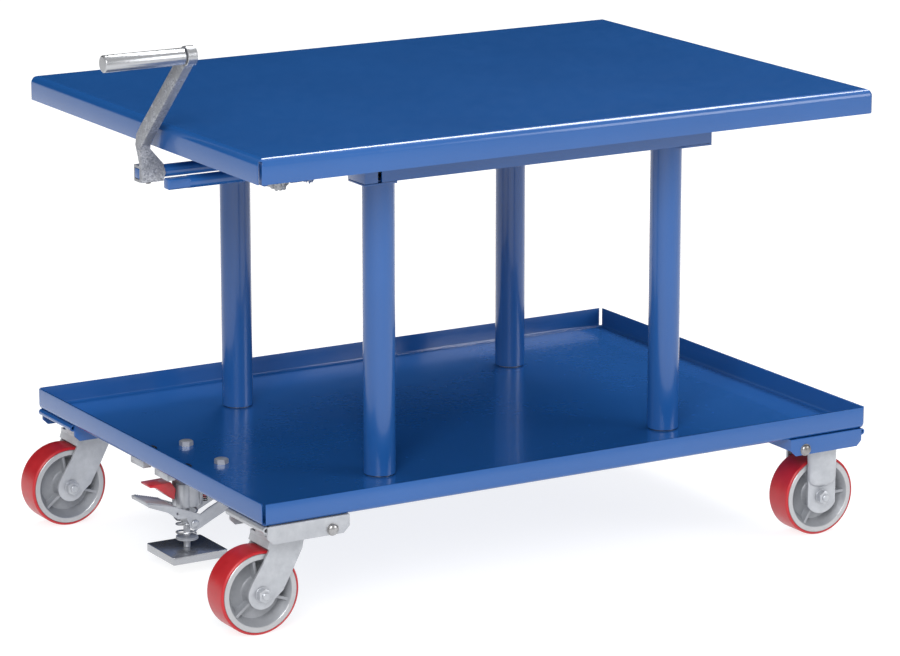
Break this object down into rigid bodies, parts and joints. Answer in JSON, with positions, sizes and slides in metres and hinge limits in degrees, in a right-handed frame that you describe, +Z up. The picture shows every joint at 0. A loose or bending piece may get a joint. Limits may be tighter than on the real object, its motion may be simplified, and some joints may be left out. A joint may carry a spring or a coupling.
{
  "type": "mechanical lift table",
  "caption": "Hand-cranked lift table: top on four telescoping screw posts over a lower deck, on swivel and rigid casters with a foot-operated floor lock.",
  "frame": {"origin": "on the floor, under the middle of the whole object's outline", "axes": "+Z up, +X along the table away from the crank, +Y across the table towards the side away from the crank shafts' offset"},
  "size_m": [1.2186, 0.771, 0.8443],
  "materials": {
    "blue_paint": "glossy blue enamel",
    "zinc_plate": "bright zinc plate",
    "bright_steel": "bright turned steel",
    "oiled_steel": "oiled bare steel",
    "bronze": "machined bronze",
    "galvanised_cast": "mottled galvanised steel",
    "red_paint": "red enamel",
    "red_polyurethane": "smooth polyurethane tread"
  },
  "bodies": {
    "chassis": {"deck_tray": "blue_paint", "guide_tube_near_left": "oiled_steel", "guide_tube_far_left": "oiled_steel", "guide_tube_near_right": "oiled_steel", "guide_tube_far_right": "oiled_steel", "lift_nut_near_left": "bronze", "lift_nut_far_left": "bronze", "lift_nut_near_right": "bronze", "lift_nut_far_right": "bronze", "caster_plate_near_left": "zinc_plate", "caster_plate_far_left": "blue_paint", "caster_plate_near_right": "blue_paint", "caster_plate_far_right": "blue_paint", "caster_fork_near_right": "zinc_plate", "caster_fork_far_right": "zinc_plate", "axle_near_right": "zinc_plate", "axle_far_right": "zinc_plate", "floor_lock_body": "zinc_plate"},
    "table": {"tabletop": "blue_paint", "side_rail_near": "blue_paint", "side_rail_far": "blue_paint", "cross_member_left": "blue_paint", "cross_member_right": "blue_paint", "post_tube_near_left": "blue_paint", "post_tube_far_left": "blue_paint", "post_tube_near_right": "blue_paint", "post_tube_far_right": "blue_paint", "thrust_bearing_near_left": "bright_steel", "thrust_bearing_far_left": "bright_steel", "thrust_bearing_near_right": "bright_steel", "thrust_bearing_far_right": "bright_steel", "lift_chain": "oiled_steel", "input_chain": "oiled_steel", "shaft_bracket": "blue_paint"},
    "screw_near_left": {"lift_screw_near_left": "oiled_steel", "screw_sprocket_near_left": "oiled_steel"},
    "screw_far_left": {"lift_screw_far_left": "oiled_steel", "screw_sprocket_far_left": "oiled_steel"},
    "screw_near_right": {"lift_screw_near_right": "oiled_steel", "screw_sprocket_near_right": "oiled_steel"},
    "screw_far_right": {"lift_screw_far_right": "oiled_steel", "screw_sprocket_far_right": "oiled_steel"},
    "fast_shaft": {"fast_input_shaft": "blue_paint"},
    "slow_shaft": {"slow_input_shaft": "blue_paint", "crank_handle": "galvanised_cast"},
    "grip": {"crank_grip": "bright_steel"},
    "jack": {"jack_shaft": "blue_paint"},
    "swivel_near_left": {"caster_fork_near_left": "zinc_plate", "axle_near_left": "zinc_plate"},
    "swivel_far_left": {"caster_fork_far_left": "zinc_plate", "axle_far_left": "zinc_plate"},
    "roller_near_left": {"wheel_near_left": "red_polyurethane"},
    "roller_far_left": {"wheel_far_left": "red_polyurethane"},
    "roller_near_right": {"wheel_near_right": "red_polyurethane"},
    "roller_far_right": {"wheel_far_right": "red_polyurethane"},
    "plunger": {"lock_plunger": "zinc_plate", "lock_pad": "bright_steel", "lock_spring": "bright_steel"},
    "lock_lever": {"lock_pedal": "zinc_plate"},
    "release_lever": {"release_pedal": "red_paint"}
  },
  "joints": [
    {"name": "table_lift", "type": "slide", "parent": "chassis", "child": "table", "axis": [0, 0, 1], "range_m": [0, 0.305]},
    {"name": "screw_turn_near_left", "type": "hinge", "parent": "table", "child": "screw_near_left", "pos_m": [-0.17655, -0.2275, 0.66], "axis": [0, 0, 1], "range_deg": [0, 21616]},
    {"name": "screw_turn_far_left", "type": "hinge", "parent": "table", "child": "screw_far_left", "pos_m": [-0.17655, 0.2275, 0.66], "axis": [0, 0, 1], "range_deg": [0, 21616]},
    {"name": "screw_turn_near_right", "type": "hinge", "parent": "table", "child": "screw_near_right", "pos_m": [0.32805, -0.2275, 0.66], "axis": [0, 0, 1], "range_deg": [0, 21616]},
    {"name": "screw_turn_far_right", "type": "hinge", "parent": "table", "child": "screw_far_right", "pos_m": [0.32805, 0.2275, 0.66], "axis": [0, 0, 1], "range_deg": [0, 21616]},
    {"name": "fast_shaft_turn", "type": "hinge", "parent": "table", "child": "fast_shaft", "pos_m": [-0.32425, -0.1389, 0.632], "axis": [1, 0, 0], "range_deg": [0, 21616]},
    {"name": "jack_turn", "type": "hinge", "parent": "table", "child": "jack", "pos_m": [-0.22075, -0.1389, 0.66], "axis": [0, 0, 1], "range_deg": [0, 21616]},
    {"name": "crank_turn", "type": "hinge", "parent": "table", "child": "slow_shaft", "pos_m": [-0.32425, -0.05, 0.632], "axis": [1, 0, 0], "range_deg": [0, 32423]},
    {"name": "grip_spin", "type": "hinge", "parent": "slow_shaft", "child": "grip", "pos_m": [-0.52425, -0.2092, 0.83], "axis": [1, 0, 0], "continuous": true},
    {"name": "caster_swivel_near_left", "type": "hinge", "parent": "chassis", "child": "swivel_near_left", "pos_m": [-0.39325, -0.32, 0.15], "axis": [0, 0, 1], "continuous": true},
    {"name": "wheel_roll_near_left", "type": "hinge", "parent": "swivel_near_left", "child": "roller_near_left", "pos_m": [-0.44005, -0.32, 0.0635], "axis": [0, 1, 0], "continuous": true},
    {"name": "caster_swivel_far_left", "type": "hinge", "parent": "chassis", "child": "swivel_far_left", "pos_m": [-0.39325, 0.32, 0.15], "axis": [0, 0, 1], "continuous": true},
    {"name": "wheel_roll_far_left", "type": "hinge", "parent": "swivel_far_left", "child": "roller_far_left", "pos_m": [-0.44005, 0.32, 0.0635], "axis": [0, 1, 0], "continuous": true},
    {"name": "wheel_roll_near_right", "type": "hinge", "parent": "chassis", "child": "roller_near_right", "pos_m": [0.54575, -0.32, 0.0635], "axis": [0, 1, 0], "continuous": true},
    {"name": "wheel_roll_far_right", "type": "hinge", "parent": "chassis", "child": "roller_far_right", "pos_m": [0.54575, 0.32, 0.0635], "axis": [0, 1, 0], "continuous": true},
    {"name": "lock_plunge", "type": "slide", "parent": "chassis", "child": "plunger", "axis": [0, 0, -1], "range_m": [0, 0.0228]},
    {"name": "lock_lever_tilt", "type": "hinge", "parent": "plunger", "child": "lock_lever", "pos_m": [-0.38425, 0, 0.0777], "axis": [0, 1, 0], "range_deg": [-13.5, 0]},
    {"name": "release_lever_tilt", "type": "hinge", "parent": "chassis", "child": "release_lever", "pos_m": [-0.36825, 0, 0.118], "axis": [0, 1, 0], "range_deg": [0, 7.2]}
  ],
  "couplings": [
    {"joint": "screw_turn_near_left", "follows": "table_lift", "rad_per_m": 1236.8},
    {"joint": "screw_turn_far_left", "follows": "table_lift", "rad_per_m": 1236.8},
    {"joint": "screw_turn_near_right", "follows": "table_lift", "rad_per_m": 1236.8},
    {"joint": "screw_turn_far_right", "follows": "table_lift", "rad_per_m": 1236.8},
    {"joint": "fast_shaft_turn", "follows": "table_lift", "rad_per_m": 1236.8},
    {"joint": "jack_turn", "follows": "table_lift", "rad_per_m": 1236.8},
    {"joint": "crank_turn", "follows": "table_lift", "rad_per_m": 1855.3},
    {"joint": "lock_lever_tilt", "follows": "lock_plunge", "rad_per_m": -10.154},
    {"joint": "release_lever_tilt", "follows": "lock_plunge", "rad_per_m": 5.358}
  ]
}
